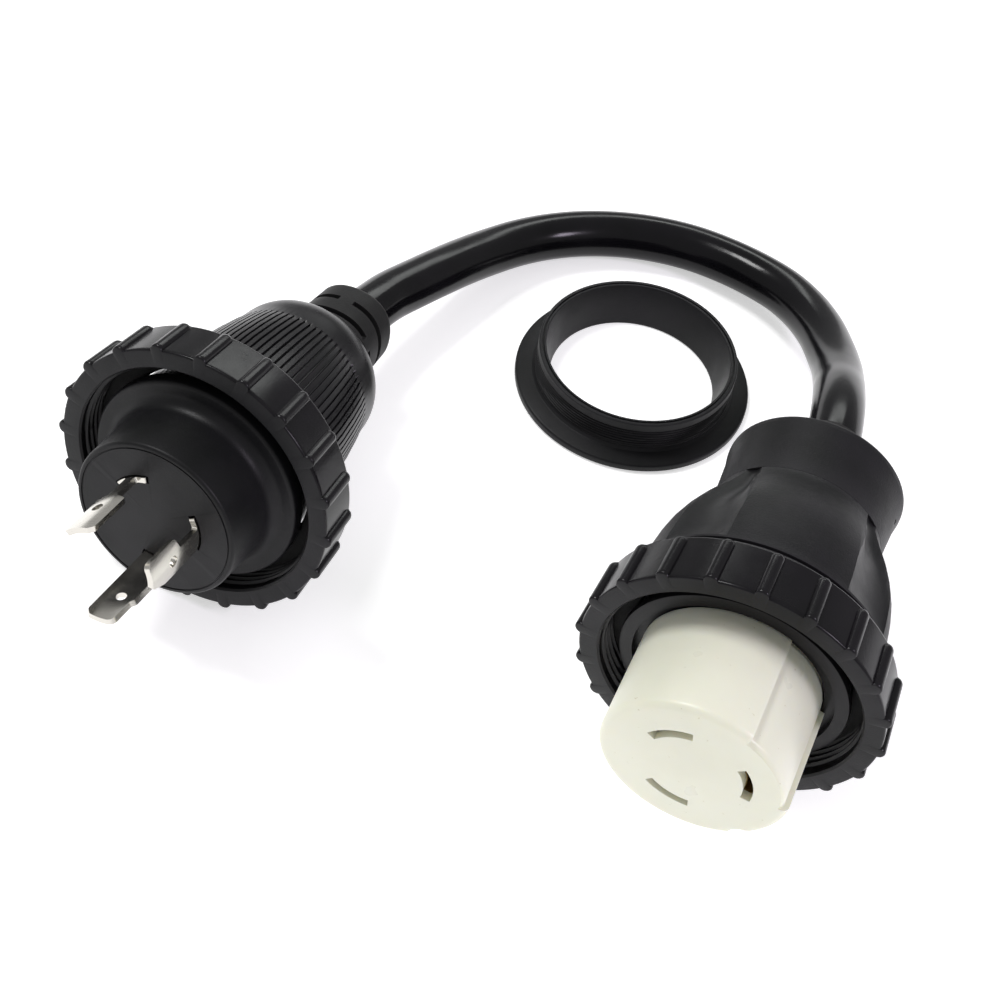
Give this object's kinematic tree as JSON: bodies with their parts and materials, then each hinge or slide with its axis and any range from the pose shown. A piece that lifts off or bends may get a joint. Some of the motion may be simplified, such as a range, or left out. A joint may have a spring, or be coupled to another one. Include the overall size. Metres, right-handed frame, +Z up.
{
  "type": "power adapter cable",
  "caption": "Short dogbone power adapter: a locking plug with curved blades and a locking connector with an ivory insert, joined by a thick round cable, with a loose threaded adapter ring.",
  "frame": {"origin": "on the surface that it lies on, under the middle of the box round the two plugs and the ring", "axes": "+X from the plug towards the connector, +Z up, -Y the side that both faces point to"},
  "size_m": [0.2182, 0.2288, 0.0794],
  "materials": {
    "collar": "satin front, glossy rim",
    "moulding": "satin, fine texture",
    "grip": "glossy, ribbed",
    "soft_moulding": "satin rubber",
    "gasket": "matt rubber",
    "jacket": "smooth glossy jacket",
    "insert": "satin, slightly translucent",
    "blade": "nickel plated",
    "terminal": "bare brass",
    "steel": "zinc plated",
    "wire_black": "insulation",
    "wire_white": "insulation",
    "wire_green": "insulation"
  },
  "bodies": {
    "adapter": {"male_nose_carrier": "moulding", "male_grip_shell": "grip", "male_strain_relief": "soft_moulding", "male_jacket_clamp": "steel", "male_hot_blade": "blade", "male_hot_crimp": "terminal", "male_hot_wire": "wire_black", "male_ground_blade": "blade", "male_ground_crimp": "terminal", "male_ground_wire": "wire_green", "male_neutral_blade": "blade", "male_neutral_crimp": "terminal", "male_neutral_wire": "wire_white", "female_body_shell": "moulding", "female_tail_sleeve": "moulding", "female_cable_grommet": "soft_moulding", "female_insert": "insert", "female_insert_retainer": "moulding", "female_cord_clamp_upper": "steel", "female_cord_clamp_lower": "steel", "female_clamp_screw_left": "steel", "female_clamp_screw_right": "steel", "female_hot_contact": "terminal", "female_hot_terminal_screw": "steel", "female_hot_wire": "wire_black", "female_neutral_contact": "terminal", "female_neutral_terminal_screw": "steel", "female_neutral_wire": "wire_white", "female_ground_contact": "terminal", "female_ground_terminal_screw": "steel", "female_ground_wire": "wire_green", "female_retainer_screw_hot": "steel", "female_retainer_screw_neutral": "steel", "female_retainer_screw_ground": "steel", "cable_jacket": "jacket"},
    "male_gasket": {"male_collar_gasket": "gasket"},
    "male_ring": {"male_collar": "collar"},
    "female_gasket": {"female_collar_gasket": "gasket"},
    "female_ring": {"female_collar": "collar"},
    "loose_ring": {"thread_adapter_ring": "moulding"}
  },
  "joints": [
    {"name": "male_collar_slide", "type": "slide", "parent": "adapter", "child": "male_gasket", "axis": [-0.2987, -0.9361, 0.1857], "range_m": [-0.006, 0.0035]},
    {"name": "male_collar_spin", "type": "hinge", "parent": "male_gasket", "child": "male_ring", "pos_m": [-0.0713, -0.0376, 0.0408], "axis": [-0.2987, -0.9361, 0.1857], "continuous": true},
    {"name": "female_collar_slide", "type": "slide", "parent": "adapter", "child": "female_gasket", "axis": [-0.2823, -0.9593, 0], "range_m": [-0.0018, 0.0035]},
    {"name": "female_collar_spin", "type": "hinge", "parent": "female_gasket", "child": "female_ring", "pos_m": [0.066, -0.0695, 0.0394], "axis": [-0.2823, -0.9593, 0], "continuous": true},
    {"name": "adapter_ring_lift", "type": "slide", "parent": "adapter", "child": "loose_ring", "axis": [0, 0, 1], "range_m": [0, 0.06]}
  ]
}
